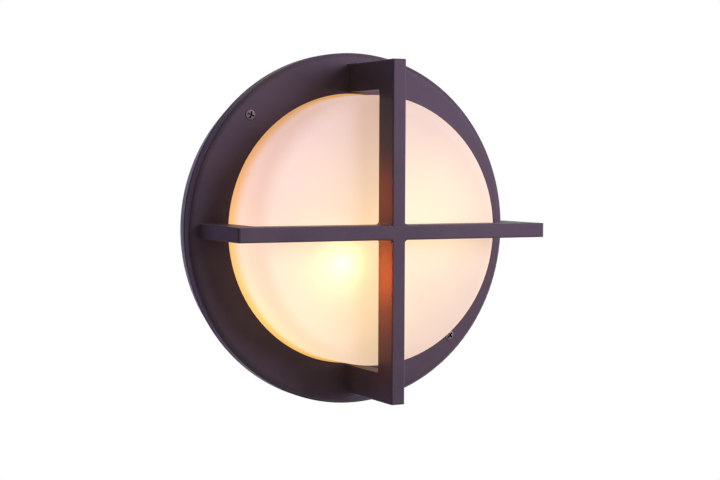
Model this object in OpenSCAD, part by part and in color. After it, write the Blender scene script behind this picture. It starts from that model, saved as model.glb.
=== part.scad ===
// Round cast bulkhead light: base pan, two lamps, frosted glass drum and a one-piece ring with a cross guard.
// Each piece is drawn lying on its back: x to the right, y up, z out from the wall.
// on_wall() stands it up: the wall is the plane y = 0, the front faces -Y and +Z is up.

/* [Ring and guard] */
// Outer diameter of the ring
ring_d = 300; // [270:1:340]
// Width of the ring's face, from its opening to its outside
ring_face_w = 34.5; // [32.5:0.5:42]
// Thickness of the ring's face
ring_t = 4; // [3:0.5:6]
// Radius along the ring's outer edge
ring_edge_r = 3; // [1:0.5:3.5]
// Depth of the ring's skirt from its front face
skirt_depth = 10; // [8:0.5:14]
// Thickness of the skirt
skirt_t = 4; // [3:0.5:5]
// Height of the guard's front above the ring's face
guard_h = 81.5; // [78:0.5:110]
// Set-back of each leg's outer face from the ring's outside
leg_inset = 9.5; // [6:0.5:14]
// Set-back of each leg's inner face from the ring's opening
leg_setback = 1; // [0.5:0.5:6]
// Width of the bars and the legs
bar_w = 12; // [9:0.5:16]
// Depth of the bars, front to back
bar_depth = 24; // [14:1:28]
// Radius along the front edges of the bars and the outer edges of the legs
bar_edge_r = 1.2; // [0.4:0.2:2.4]
// Radius of the corner between each leg and its bar, on the outside
knee_r = 2; // [0.5:0.5:6]
// Fillet of the window's corners, under the bars
window_fillet = 2; // [0.5:0.5:6]
// Fillet in the corners where the bars cross
cross_fillet = 3; // [1:0.5:8]
// Fillet at the feet of the legs
foot_fillet = 0.5; // [0.5:0.5:4]

/* [Base pan] */
// Radius that the pan loses between its rim and the wall
pan_taper = 7.5; // [5:0.5:12]
// Distance from the wall to the ring's front face
body_depth = 40; // [38:1:55]
// Thickness of the pan's wall
pan_wall = 3; // [2:0.5:4]
// Thickness of the pan's floor
floor_t = 4; // [3.5:0.5:6]
// Height of the straight land at the pan's rim
rim_land = 2; // [1:0.5:4]
// Clearance between the pan's lip and the skirt around it
lip_gap = 0.4; // [0.2:0.1:1]
// Clearance between the top of the lip and the ring
lip_end_gap = 3; // [1:0.5:4]
// Diameter of the wall screw holes
wall_hole_d = 5.5; // [4:0.5:7]
// Pitch circle diameter of the wall screw holes
wall_hole_pcd = 190; // [170:2:210]

/* [Glass] */
// Gap between the ring's opening and the glass wall
glass_gap = 1.8; // [1:0.1:4]
// Thickness of the glass
glass_t = 4; // [3:0.5:6]
// Gap between the crown of the glass and the bars
glass_clear = 3; // [2:0.5:8]
// Rise of the crown over the shoulder
glass_crown = 2; // [1:0.5:4]
// Radius of the shoulder, outside
shoulder_r = 12; // [8:1:24]
// Radius that the wall loses between ring and shoulder
glass_draft = 1; // [0.5:0.1:3]
// Width of the flange outside the wall
flange_w = 11; // [8:0.5:12]
// Thickness of the flange
flange_t = 5; // [3:0.5:6]

/* [Seals] */
// Thickness of the seal round the glass flange
glass_seal_t = 1.5; // [1:0.25:2]
// Thickness of the seal on the pan's rim
rim_seal_t = 1; // [0.5:0.25:2]
// Set-back of the rim seal from the ring's outside
rim_seal_setback = 0.8; // [0.4:0.2:1.6]
// Width of the wall seal
wall_seal_w = 8; // [4:1:12]
// Thickness of the wall seal
wall_seal_t = 2; // [1:0.5:2.5]
// Distance from the pan's edge to the wall seal
wall_seal_inset = 5; // [4:0.5:10]
// Clearance of a seal in its seat
seal_gap = 0.1; // [0.05:0.05:0.3]

/* [Cable inlet] */
// Hole through the grommet for the supply cable
cable_d = 10; // [6:0.5:13]
// Neck diameter of the grommet
grommet_neck_d = 20; // [18:1:26]
// Diameter of the grommet's flanges
grommet_d = 27; // [26:1:34]
// Thickness of the grommet's flanges
grommet_flange_t = 1.6; // [1:0.2:2.4]
// Web of the pan that the grommet grips
inlet_web = 3; // [2:0.5:4]
// Depth of the recess for the grommet's back flange
inlet_recess = 2; // [1.8:0.2:3]
// Wall of the boss round the inlet
inlet_boss_wall = 5; // [3:0.5:8]

/* [Reflector] */
// Height of the wiring space under the reflector
wiring_h = 13; // [13:0.5:18]
// Thickness of the reflector's sheet
sheet_t = 1; // [0.6:0.1:1.5]
// Gap between the reflector's edge and the line of the glass's inside
reflector_gap = 3.7; // [2:0.1:6]
// Width of its sloped rim
reflector_rim_w = 7; // [4:0.5:10]
// Rise of its rim
reflector_rise = 6; // [3:0.5:8]
// Distance from its slope to the axes of its posts
post_inset = 8; // [6:0.5:12]
// Diameter of the posts
post_d = 9; // [7:0.5:11]

/* [Lamps] */
// Diameter of each lamp's bulb
bulb_d = 60; // [45:1:62]
// Length of each lamp from contact to tip
lamp_len = 107; // [98:1:112]
// Diameter of the lamp's cap
cap_d = 26; // [25:0.2:26.4]
// Length of the cap with its contact
cap_len = 27; // [24:0.5:28]
// Diameter of the bulb's neck at the cap
neck_d = 28; // [27:0.5:30]
// Diameter of the cap's end contact
button_d = 9; // [7:0.5:11]
// Height of the cap's end contact
button_h = 2; // [1:0.5:3]
// Gap between each bulb and the other lamp's holder
lamp_gap = 4; // [2:0.5:10]

/* [Lampholders] */
// Diameter of the lampholder's base
holder_d = 40; // [38:1:42]
// Diameter of the lampholder's mouth
mouth_d = 36; // [34:0.5:37]
// Length of the lampholder
holder_len = 42; // [40:1:48]
// Length of the wide base
holder_base_len = 18; // [14:1:24]
// Thickness of the lampholder's floor
holder_floor = 12; // [10:0.5:15]
// Height of the centre contact above that floor
contact_h = 4; // [3:0.5:6]
// Width of the centre contact's strip
strip_w = 4; // [3:0.5:6]
// Length of that strip
strip_len = 12; // [8:0.5:16]
// Thickness of that strip
strip_t = 0.6; // [0.4:0.1:1]
// Diameter of the centre contact's spring
spring_d = 5; // [3:0.5:7]
// Clearance between the cap and the screw shell
cap_gap = 0.4; // [0.2:0.1:0.8]
// Thickness of the screw shell
shell_t = 0.5; // [0.3:0.1:0.8]
// Length of the screw shell
shell_len = 25; // [20:1:27]
// Width of the screw shell's turned-in foot
shell_foot_w = 5; // [3:0.5:6]
// Clearance between the screw shell and the porcelain
shell_gap = 0.2; // [0.1:0.1:0.4]
// Thickness of the bracket's steel
bracket_t = 1.5; // [1:0.25:2.5]
// Width of the bracket
bracket_w = 30; // [28:1:34]
// Length of the bracket's foot
foot_len = 22; // [18:1:26]
// Distance from the foot's end to the reflector's slope
foot_margin = 14.2; // [6:0.2:18]
// Height of the bracket above the lamp's axis
bracket_top = 14; // [12:1:18]
// Distance between the two screws in the bracket's foot
foot_screw_pitch = 21; // [20:0.5:23]
// Distance between the two screws in the lampholder
holder_screw_pitch = 18; // [16:1:20]
// Height of the lampholder's screws above the axis
holder_screw_rise = 4; // [2:0.5:6]

/* [Wiring] */
// Diameter of the inner leads
lead_d = 2.4; // [1.6:0.2:2.8]
// Distance between the two leads of a lamp
lead_pitch = 4; // [3.2:0.2:4.6]
// Drop of the leads' entry below the lamp's axis
lead_drop = 8; // [7:0.5:9]
// Hole for a pair of leads
lead_hole_d = 10; // [8:0.5:11]
// Depth that a lead goes into what it feeds
lead_entry = 3; // [2:0.5:4]
// Clearance round a lead in its entry
lead_gap = 0.2; // [0.1:0.1:0.4]
// Length of the terminal block
block_w = 38; // [36:1:44]
// Depth of the terminal block
block_d = 18; // [16:1:22]
// Height of the terminal block
block_h = 12; // [10:0.5:12.5]
// Height of the strip between its ways
block_strip_h = 7; // [5:0.5:8]
// Width of each way
way_w = 7; // [6:0.25:7.5]
// Distance between the ways
way_pitch = 12; // [11.5:0.25:13]
// Drop of the terminal block below the middle of the pan
block_drop = 50; // [48:1:56]
// Distance of the earth point from the centre line
earth_x = 40; // [36:1:44]
// Drop of the earth point below the middle of the pan
earth_drop = 24; // [20:1:28]
// Height of the earth boss over the floor
earth_boss_h = 4; // [3:0.5:6]
// Diameter of the earth boss
earth_boss_d = 9; // [8:0.5:12]
// Diameter of the earth tag's eye
tag_d = 8; // [7.5:0.25:9]
// Diameter of the earth tag's barrel
barrel_d = 4; // [3.6:0.2:5]
// Length of the earth tag's barrel
barrel_len = 6; // [5:0.5:8]
// Thickness of the earth tag
tag_t = 0.8; // [0.5:0.1:1.2]

/* [Screws] */
// Thread diameter of the frame screws
frame_screw_d = 4; // [3:0.5:5]
// Head diameter of the frame screws
frame_head_d = 8.5; // [7:0.5:9]
// Length of the frame screws under the head
frame_screw_len = 18; // [14:1:24]
// Radial clearance round a frame screw's head in its counterbore
head_gap = 0.4; // [0.4:0.2:1.2]
// Depth of that counterbore
counterbore = 1.4; // [1:0.2:2.4]
// Diameter of the pan's bosses for the frame screws
frame_boss_d = 11; // [9:0.5:11.5]
// Width of the cross recess as a share of the head's diameter
recess_w_share = 0.13; // [0.08:0.01:0.18]
// Length of the cross recess as a share of the head's diameter
recess_l_share = 0.56; // [0.4:0.02:0.7]
// Thread diameter of the screws that hold the inner pieces
small_screw_d = 3.5; // [3:0.25:4]
// Head diameter of those screws
small_head_d = 6.5; // [5.5:0.25:7]
// Length of the reflector's screws under the head
post_screw_len = 9; // [6:0.5:12]
// Length of the bracket screws under the head
bracket_screw_len = 6; // [4:0.5:8]
// Thread diameter of the clip, lampholder and block screws
fine_screw_d = 3; // [2.5:0.25:3.5]
// Head diameter of those screws
fine_head_d = 5.5; // [5:0.25:6]
// Length of the lampholder screws under the head
holder_screw_len = 8; // [6:0.5:10]
// Length of the clip screws under the head
clip_screw_len = 6; // [4:0.5:7]
// Diameter of the terminal block's clamp screws
clamp_screw_d = 3; // [2:0.25:3.5]
// Depth of the wells for the clamp screws
clamp_well = 4; // [3:0.25:4.5]
// Depth of a clamp screw's top below the block's top
clamp_sink = 1; // [0.5:0.25:1.5]
// Height of a screw head as a share of its diameter
head_share = 0.3; // [0.25:0.01:0.35]
// Radial clearance of a screw in a hole it passes
screw_gap = 0.25; // [0.15:0.05:0.4]
// Radial clearance of a screw in the hole it is driven into
thread_gap = 0.05; // [0.02:0.01:0.1]
// Depth of a driven screw's hole past the screw's end
hole_reserve = 1.5; // [0.5:0.5:3]

/* [Clips] */
// Thickness of the glass clips
clip_t = 0.8; // [0.5:0.1:1.2]
// Width of the glass clips
clip_w = 12; // [9:0.5:16]
// Length of the clip that lies on the glass flange
clip_grip = 6; // [4:0.5:8]
// Diameter of the clip bosses behind the ring
clip_boss_d = 8; // [7:0.5:9]
// Wall of the collar round the glass seal
collar_t = 1.8; // [1.2:0.2:2.4]

/* [Hidden] */
$fn = 96;
eps = 0.01;
quarter = 90;
quarters = [0, quarter, 2 * quarter, 3 * quarter];
diagonal = 45;

// Colours
bronze = [0.22, 0.18, 0.20];
steel = [0.72, 0.73, 0.75];
brass = [0.80, 0.66, 0.36];
porcelain = [0.93, 0.92, 0.88];
white_enamel = [0.95, 0.95, 0.93];
lit_glass = [1.0, 0.90, 0.76];
opal_white = [1.0, 0.97, 0.90];
black_rubber = [0.10, 0.10, 0.10];
grey_foam = [0.35, 0.35, 0.36];
clear_silicone = [0.75, 0.72, 0.68];
live_brown = [0.36, 0.20, 0.10];
neutral_blue = [0.10, 0.30, 0.62];
earth_green = [0.30, 0.55, 0.15];

// Levels out from the wall
ring_front = body_depth;
ring_back = ring_front - ring_t;
skirt_end = ring_front - skirt_depth;
rim_top = skirt_end - rim_seal_t;
lip_top = ring_back - lip_end_gap;
guard_front = ring_front + guard_h;
bar_back = guard_front - bar_depth;
flange_front = ring_back - glass_seal_t;
flange_back = flange_front - flange_t;
glass_top = bar_back - glass_clear;
shoulder_top = glass_top - glass_crown;
reflector_back = floor_t + wiring_h;
reflector_front = reflector_back + sheet_t;
lamp_z = (reflector_front + shoulder_top - glass_t) / 2;

// Radii of the ring, its seats and the glass
ring_r = ring_d / 2;
bore_r = ring_r - ring_face_w;
ring_edge = min(ring_edge_r, skirt_t, ring_t);
leg_in = bore_r + leg_setback;
leg_out = ring_r - leg_inset;
guard_span = 2 * leg_out;
glass_r = bore_r - glass_gap;
flange_r = glass_r + flange_w;
seal_out = flange_r + seal_gap + glass_seal_t;
collar_in = seal_out + seal_gap;
collar_out = collar_in + collar_t;
lip_out = ring_r - skirt_t - lip_gap;
lip_in = lip_out - pan_wall;
frame_screw_r = (collar_out + lip_in) / 2;
clip_screw_r = collar_out + clip_boss_d / 2 - collar_t / 2;
clip_in = flange_r - clip_grip;
clip_out = clip_screw_r + clip_boss_d / 2;
pan_back_r = ring_r - pan_taper;
wall_seal_out = pan_back_r - wall_seal_inset;
wall_seal_in = wall_seal_out - wall_seal_w;
inlet_boss_r = grommet_d / 2 + inlet_boss_wall;
inlet_front = inlet_recess + inlet_web;
reflector_r = glass_r - glass_t - reflector_gap;
flat_r = reflector_r - reflector_rim_w;
post_r = flat_r - post_inset;

// Screws
frame_seat = ring_front - counterbore;
block_head_d = min(fine_head_d, way_pitch - way_w - 2 * screw_gap);
block_screw_len = block_strip_h + floor_t / 2;
earth_screw_len = earth_boss_h + floor_t / 2;
clip_hole_depth = clip_screw_len - clip_t + hole_reserve / 2;
clamp_screw_h = clamp_well - clamp_sink;
clamp_slot_w = clamp_screw_d / 5;

// Lampholder stations along the lamp's axis, for the upper lamp; the lower one is turned half round
shell_in = cap_d / 2 + cap_gap;
shell_out = shell_in + shell_t;
socket_r = shell_out + shell_gap;
contact_z = holder_floor + contact_h;
lamp_y = (bulb_d / 2 + holder_d / 2 + lamp_gap) / 2;
foot_side_y = lamp_y + bracket_w / 2;
foot_x = foot_margin + foot_len / 2 - sqrt(flat_r * flat_r - foot_side_y * foot_side_y);
holder_x = foot_x + foot_len / 2 + bracket_t;
lead_entry_z = lamp_z - lead_drop;
holder_screw_z = lamp_z + holder_screw_rise;

// Wiring stations
wire_z = floor_t + block_h / 2;
block_top_y = block_d / 2 - block_drop;
block_low_y = -block_d / 2 - block_drop;
loop_y = (post_r - post_d / 2 - block_low_y) / 2;
earth_y = -earth_drop;
tag_z = floor_t + earth_boss_h;
barrel_x = earth_x - tag_d / 2 - barrel_len;
lead_sides = 8;
curve_steps = 4;

// Frame: the wall is y = 0 and the front faces -Y
module on_wall() {
    rotate([quarter, 0, 0])
        children();
}

// Each of the two lamps: the upper one as drawn, the lower one turned half round
module at_lamp(lower) {
    rotate([0, 0, lower ? 2 * quarter : 0])
        children();
}

// Something revolved about a lamp's axis, drawn from the back of the lampholder
module on_lamp_axis() {
    translate([holder_x, lamp_y, lamp_z])
        rotate([0, quarter, 0])
            children();
}

module at_radius(r, angle) {
    rotate([0, 0, angle])
        translate([r, 0, 0])
            children();
}

module tube(r_out, r_in, h) {
    difference() {
        cylinder(r = r_out, h = h);
        translate([0, 0, -eps])
            cylinder(r = r_in, h = h + 2 * eps);
    }
}

// Domed head with a cross recess, seated at z = 0 with its thread below
module cross_screw(d, head_d, length) {
    head_h = head_d * head_share;
    dome_r = (head_d * head_d / 4 + head_h * head_h) / (2 * head_h);
    recess_w = head_d * recess_w_share;
    recess_l = head_d * recess_l_share;
    difference() {
        union() {
            translate([0, 0, -length])
                cylinder(d = d, h = length + eps);
            rotate_extrude()
                intersection() {
                    square([head_d / 2, head_h]);
                    translate([0, head_h - dome_r])
                        circle(dome_r);
                }
        }
        for (turn = [0, quarter])
            rotate([0, 0, turn])
                translate([-recess_l / 2, -recess_w / 2, head_h / 3])
                    cube([recess_l, recess_w, head_h]);
    }
}

// Flat shape with its two upper corners rounded, standing on y = base
module arch(width, base, top, r) {
    translate([-width / 2, base])
        square([width, top - base - r]);
    translate([r - width / 2, base])
        square([width - 2 * r, top - base]);
    for (side = [-1, 1])
        translate([side * (width / 2 - r), top - r])
            circle(r);
}

// The corner left over between a square of side r and a circle in its far corner
module fillet_corner(r) {
    difference() {
        translate([-eps, -eps])
            square(r + eps);
        translate([r, r])
            circle(r);
    }
}

// One leg-to-leg bar: side, front and end outlines, each carried right through, meet in it
module guard_bar() {
    intersection() {
        rotate([quarter, 0, 0])
            linear_extrude(bar_w, center = true)
                difference() {
                    arch(guard_span, ring_back + eps, guard_front, knee_r);
                    arch(2 * leg_in, ring_back, bar_back, window_fillet);
                }
        linear_extrude(guard_front)
            union() {
                square([guard_span - 2 * bar_edge_r, bar_w], center = true);
                square([guard_span, bar_w - 2 * bar_edge_r], center = true);
                for (sx = [-1, 1], sy = [-1, 1])
                    translate([sx * (leg_out - bar_edge_r), sy * (bar_w / 2 - bar_edge_r)])
                        circle(bar_edge_r);
            }
        rotate([quarter, 0, quarter])
            linear_extrude(guard_span, center = true)
                arch(bar_w, 0, guard_front, bar_edge_r);
    }
}

// Fillets along both sides of a leg and round the back of its foot
module foot_fillets() {
    leg_len = leg_out - leg_in;
    translate([0, 0, ring_front]) {
        for (side = [-1, 1]) {
            translate([leg_in, 0, 0])
                rotate([quarter, 0, quarter])
                    linear_extrude(leg_len)
                        mirror([side < 0 ? 1 : 0, 0])
                            translate([bar_w / 2, 0])
                                fillet_corner(foot_fillet);
            translate([leg_out, side * bar_w / 2, 0])
                rotate([0, 0, side < 0 ? -quarter : 0])
                    rotate_extrude(angle = quarter)
                        intersection() {
                            fillet_corner(foot_fillet);
                            square(foot_fillet);
                        }
        }
        translate([leg_out, 0, 0])
            rotate([quarter, 0, 0])
                linear_extrude(bar_w, center = true)
                    fillet_corner(foot_fillet);
    }
}

module cross_fillets() {
    for (turn = quarters)
        rotate([0, 0, turn])
            translate([bar_w / 2, bar_w / 2, bar_back])
                linear_extrude(bar_depth - bar_edge_r)
                    fillet_corner(cross_fillet);
}

module ring_section() {
    translate([bore_r, ring_back])
        square([ring_r - ring_edge - bore_r, ring_t]);
    translate([ring_r - skirt_t, skirt_end])
        square([skirt_t, skirt_depth - ring_edge]);
    translate([ring_r - ring_edge, ring_front - ring_edge])
        circle(ring_edge);
    translate([collar_in, flange_back])
        square([collar_t, ring_back - flange_back + eps]);
}

module guard_frame() {
    color(bronze) on_wall()
        difference() {
            union() {
                rotate_extrude()
                    ring_section();
                for (turn = quarters)
                    at_radius(clip_screw_r, turn)
                        translate([0, 0, flange_back])
                            cylinder(d = clip_boss_d, h = ring_back - flange_back + eps);
                for (turn = [0, quarter])
                    rotate([0, 0, turn])
                        guard_bar();
                for (turn = quarters)
                    rotate([0, 0, turn])
                        foot_fillets();
                cross_fillets();
            }
            for (turn = quarters)
                at_radius(clip_screw_r, turn)
                    translate([0, 0, flange_back - eps])
                        cylinder(r = fine_screw_d / 2 + thread_gap, h = clip_hole_depth);
            for (turn = [3 * diagonal, -diagonal])
                at_radius(frame_screw_r, turn) {
                    translate([0, 0, ring_back - eps])
                        cylinder(r = frame_screw_d / 2 + screw_gap, h = ring_t + 2 * eps);
                    translate([0, 0, frame_seat])
                        cylinder(r = frame_head_d / 2 + head_gap, h = counterbore + eps);
                }
        }
}

module frame_screws() {
    color(steel) on_wall()
        for (turn = [3 * diagonal, -diagonal])
            at_radius(frame_screw_r, turn)
                translate([0, 0, frame_seat])
                    cross_screw(frame_screw_d, frame_head_d, frame_screw_len);
}

// Outline of the glass drum, drawn in by inset all round for its inside
module glass_outline(inset) {
    top = glass_top - inset;
    shoulder_z = shoulder_top - shoulder_r;
    bend_r = shoulder_r - inset;
    bend_x = glass_r - glass_draft - shoulder_r;
    crown_r = (bend_x * bend_x + glass_crown * glass_crown) / (2 * glass_crown) - inset;
    polygon([
        [0, flange_back], [glass_r - inset, flange_back], [glass_r - inset, ring_front],
        [bend_x + bend_r, shoulder_z], [0, shoulder_z]
    ]);
    translate([0, shoulder_z - eps])
        square([bend_x, bend_r + eps]);
    translate([bend_x, shoulder_z])
        circle(bend_r);
    intersection() {
        translate([0, shoulder_z])
            square([bend_x, top - shoulder_z]);
        translate([0, top - crown_r])
            circle(crown_r);
    }
}

module glass_diffuser() {
    color(lit_glass) on_wall()
        rotate_extrude()
            difference() {
                union() {
                    glass_outline(0);
                    translate([0, flange_back])
                        square([flange_r, flange_t]);
                }
                glass_outline(glass_t);
                translate([0, flange_back - eps])
                    square([glass_r - glass_t, 2 * eps]);
            }
}

module glass_gasket() {
    color(clear_silicone) on_wall()
        rotate_extrude() {
            translate([bore_r, flange_front])
                square([seal_out - bore_r, glass_seal_t]);
            translate([flange_r + seal_gap, flange_back])
                square([glass_seal_t, flange_t + eps]);
        }
}

module glass_clip(turn) {
    color(steel) on_wall()
        rotate([0, 0, turn])
            translate([0, 0, flange_back - clip_t])
                linear_extrude(clip_t)
                    difference() {
                        union() {
                            translate([clip_in, -clip_w / 2])
                                square([clip_screw_r - clip_in, clip_w]);
                            intersection() {
                                translate([clip_screw_r, 0])
                                    circle(d = clip_w);
                                translate([clip_screw_r - eps, -clip_w / 2])
                                    square([clip_out - clip_screw_r, clip_w]);
                            }
                        }
                        translate([clip_screw_r, 0])
                            circle(fine_screw_d / 2 + screw_gap);
                    }
}

module clip_screws() {
    color(steel) on_wall()
        for (turn = quarters)
            at_radius(clip_screw_r, turn)
                translate([0, 0, flange_back - clip_t])
                    rotate([2 * quarter, 0, 0])
                        cross_screw(fine_screw_d, fine_head_d, clip_screw_len);
}

module pan_section() {
    rim_start = rim_top - rim_land;
    polygon([
        [0, 0], [pan_back_r, 0], [ring_r, rim_start], [ring_r, rim_top],
        [lip_out, rim_top], [lip_out, lip_top], [lip_in, lip_top], [lip_in, rim_start],
        [pan_back_r - pan_wall, floor_t], [0, floor_t]
    ]);
}

module base_pan() {
    color(bronze) on_wall()
        difference() {
            union() {
                rotate_extrude()
                    pan_section();
                cylinder(r = inlet_boss_r, h = inlet_front);
                for (turn = quarters)
                    at_radius(post_r, turn)
                        cylinder(d = post_d, h = reflector_back);
                for (turn = [3 * diagonal, -diagonal])
                    at_radius(frame_screw_r, turn)
                        translate([0, 0, floor_t - eps])
                            cylinder(d = frame_boss_d, h = ring_back - floor_t + eps);
                translate([earth_x, earth_y, 0])
                    cylinder(d = earth_boss_d, h = tag_z);
            }
            translate([0, 0, -eps])
                cylinder(r = grommet_neck_d / 2, h = inlet_front + 2 * eps);
            translate([0, 0, -eps])
                cylinder(r = grommet_d / 2 + seal_gap, h = inlet_recess + eps);
            translate([0, 0, -eps])
                tube(wall_seal_out + seal_gap, wall_seal_in - seal_gap, wall_seal_t + eps);
            for (turn = quarters) {
                at_radius(wall_hole_pcd / 2, turn + diagonal)
                    translate([0, 0, -eps])
                        cylinder(d = wall_hole_d, h = floor_t + 2 * eps);
                at_radius(post_r, turn)
                    translate([0, 0, reflector_front - post_screw_len - hole_reserve])
                        cylinder(r = small_screw_d / 2 + thread_gap, h = post_screw_len + hole_reserve);
            }
            for (turn = [3 * diagonal, -diagonal])
                at_radius(frame_screw_r, turn)
                    translate([0, 0, frame_seat - frame_screw_len - hole_reserve])
                        cylinder(r = frame_screw_d / 2 + thread_gap, h = frame_screw_len + hole_reserve);
            translate([earth_x, earth_y, tag_z + tag_t - earth_screw_len - hole_reserve])
                cylinder(r = small_screw_d / 2 + thread_gap, h = earth_screw_len + hole_reserve);
            for (side = [-1, 1])
                translate([side * way_pitch / 2, -block_drop, floor_t + block_strip_h - block_screw_len])
                    cylinder(r = fine_screw_d / 2 + thread_gap, h = block_screw_len + eps);
        }
}

module wall_gasket() {
    color(grey_foam) on_wall()
        tube(wall_seal_out, wall_seal_in, wall_seal_t);
}

module rim_gasket() {
    color(black_rubber) on_wall()
        translate([0, 0, rim_top])
            tube(ring_r - rim_seal_setback, lip_out + seal_gap, rim_seal_t);
}

module cable_grommet() {
    color(black_rubber) on_wall()
        difference() {
            union() {
                translate([0, 0, inlet_recess - grommet_flange_t])
                    cylinder(d = grommet_d, h = grommet_flange_t);
                translate([0, 0, inlet_recess - eps])
                    cylinder(r = grommet_neck_d / 2 - seal_gap, h = inlet_web + 2 * eps);
                translate([0, 0, inlet_front])
                    cylinder(d = grommet_d, h = grommet_flange_t);
            }
            translate([0, 0, -eps])
                cylinder(d = cable_d, h = inlet_front + grommet_flange_t + 2 * eps);
        }
}

module reflector() {
    color(white_enamel) on_wall()
        difference() {
            translate([0, 0, reflector_back])
                rotate_extrude()
                    polygon([
                        [0, 0], [flat_r, 0], [reflector_r, reflector_rise],
                        [reflector_r, reflector_rise + sheet_t], [flat_r, sheet_t], [0, sheet_t]
                    ]);
            translate([0, 0, reflector_back - eps]) {
                for (turn = quarters)
                    at_radius(post_r, turn)
                        cylinder(r = small_screw_d / 2 + screw_gap, h = sheet_t + 2 * eps);
                for (lower = [false, true])
                    at_lamp(lower) {
                        for (side = [-1, 1])
                            translate([foot_x, lamp_y + side * foot_screw_pitch / 2, 0])
                                cylinder(r = small_screw_d / 2 + thread_gap, h = sheet_t + 2 * eps);
                        translate([foot_x, lamp_y, 0])
                            cylinder(d = lead_hole_d, h = sheet_t + 2 * eps);
                    }
            }
        }
}

module reflector_screws() {
    color(steel) on_wall()
        for (turn = quarters)
            at_radius(post_r, turn)
                translate([0, 0, reflector_front])
                    cross_screw(small_screw_d, small_head_d, post_screw_len);
}

// Bent angle: a round-topped plate behind the lampholder and a foot on the reflector
module bracket(lower) {
    color(steel) on_wall() at_lamp(lower) {
        translate([holder_x, lamp_y, 0])
            rotate([quarter, 0, -quarter])
                linear_extrude(bracket_t)
                    difference() {
                        arch(bracket_w, reflector_front, lamp_z + bracket_top, bracket_w / 3);
                        translate([0, lead_entry_z])
                            circle(d = lead_hole_d);
                        for (side = [-1, 1])
                            translate([side * holder_screw_pitch / 2, holder_screw_z])
                                circle(fine_screw_d / 2 + screw_gap);
                    }
        translate([holder_x - bracket_t - foot_len, lamp_y - bracket_w / 2, reflector_front])
            difference() {
                cube([foot_len + eps, bracket_w, bracket_t]);
                translate([foot_len / 2, bracket_w / 2, -eps]) {
                    cylinder(d = lead_hole_d, h = bracket_t + 2 * eps);
                    for (side = [-1, 1])
                        translate([0, side * foot_screw_pitch / 2, 0])
                            cylinder(r = small_screw_d / 2 + screw_gap, h = bracket_t + 2 * eps);
                }
            }
    }
}

module bracket_screws() {
    color(steel) on_wall()
        for (lower = [false, true], side = [-1, 1])
            at_lamp(lower)
                translate([foot_x, lamp_y + side * foot_screw_pitch / 2, reflector_front + bracket_t])
                    cross_screw(small_screw_d, small_head_d, bracket_screw_len);
}

module lampholder(lower) {
    color(porcelain) on_wall() at_lamp(lower)
        difference() {
            on_lamp_axis()
                difference() {
                    union() {
                        cylinder(d = mouth_d, h = holder_len);
                        cylinder(d = holder_d, h = holder_base_len);
                    }
                    translate([0, 0, holder_floor])
                        cylinder(r = socket_r, h = holder_len);
                }
            for (side = [-1, 1]) {
                translate([holder_x - eps, lamp_y + side * holder_screw_pitch / 2, holder_screw_z])
                    rotate([0, quarter, 0])
                        cylinder(r = fine_screw_d / 2 + thread_gap, h = holder_screw_len);
                translate([holder_x - eps, lamp_y + side * lead_pitch / 2, lead_entry_z])
                    rotate([0, quarter, 0])
                        cylinder(r = lead_d / 2 + lead_gap, h = lead_entry + lead_gap);
            }
        }
}

module holder_screws() {
    color(steel) on_wall()
        for (lower = [false, true], side = [-1, 1])
            at_lamp(lower)
                translate([holder_x - bracket_t, lamp_y + side * holder_screw_pitch / 2, holder_screw_z])
                    rotate([0, -quarter, 0])
                        cross_screw(fine_screw_d, fine_head_d, holder_screw_len);
}

module screw_shell(lower) {
    color(brass) on_wall() at_lamp(lower)
        on_lamp_axis()
            translate([0, 0, holder_floor]) {
                tube(shell_out, shell_in, shell_len);
                tube(shell_out, shell_out - shell_foot_w, shell_t);
            }
}

module centre_contact(lower) {
    color(brass) on_wall() at_lamp(lower)
        on_lamp_axis()
            translate([0, 0, holder_floor]) {
                translate([-strip_w / 2, -strip_len / 2, 0])
                    cube([strip_w, strip_len, strip_t]);
                cylinder(d = spring_d, h = contact_h);
            }
}

// One sealed lamp: contact, cap, cone of the neck and the round of the bulb that the cone touches
module lamp(lower) {
    bulb_r = bulb_d / 2;
    bulb_z = lamp_len - bulb_r;
    run = bulb_z - cap_len;
    lean = atan2(neck_d / 2, -run) - acos(bulb_r / norm([run, neck_d / 2]));
    touch = [bulb_r * sin(lean), bulb_z + bulb_r * cos(lean)];
    color(opal_white) on_wall() at_lamp(lower)
        on_lamp_axis()
            translate([0, 0, contact_z])
                rotate_extrude() {
                    square([button_d / 2, cap_len]);
                    translate([0, button_h])
                        polygon([
                            [0, 0], [button_d / 2, 0], [cap_d / 2, button_h],
                            [cap_d / 2, cap_len - button_h], [0, cap_len - button_h]
                        ]);
                    polygon([[0, cap_len - eps], [neck_d / 2, cap_len], touch, [0, touch[1]]]);
                    intersection() {
                        translate([0, bulb_z])
                            circle(bulb_r);
                        translate([0, cap_len])
                            square([bulb_r, lamp_len]);
                    }
                }
}

module terminal_block() {
    color(porcelain) on_wall()
        translate([0, -block_drop, floor_t])
            difference() {
                union() {
                    translate([-block_w / 2, -block_d / 2, 0])
                        cube([block_w, block_d, block_strip_h]);
                    for (way = [-1, 0, 1])
                        translate([way * way_pitch - way_w / 2, -block_d / 2, 0])
                            cube([way_w, block_d, block_h]);
                }
                for (way = [-1, 0, 1]) {
                    translate([way * way_pitch, 0, block_h / 2])
                        rotate([quarter, 0, 0])
                            cylinder(r = lead_d / 2 + lead_gap, h = block_d + 2 * eps, center = true);
                    for (side = [-1, 1])
                        translate([way * way_pitch, side * block_d / 4, block_h - clamp_well])
                            cylinder(r = clamp_screw_d / 2 + screw_gap, h = clamp_well + eps);
                }
                for (side = [-1, 1])
                    translate([side * way_pitch / 2, 0, -eps])
                        cylinder(r = fine_screw_d / 2 + screw_gap, h = block_h);
            }
}

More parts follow.
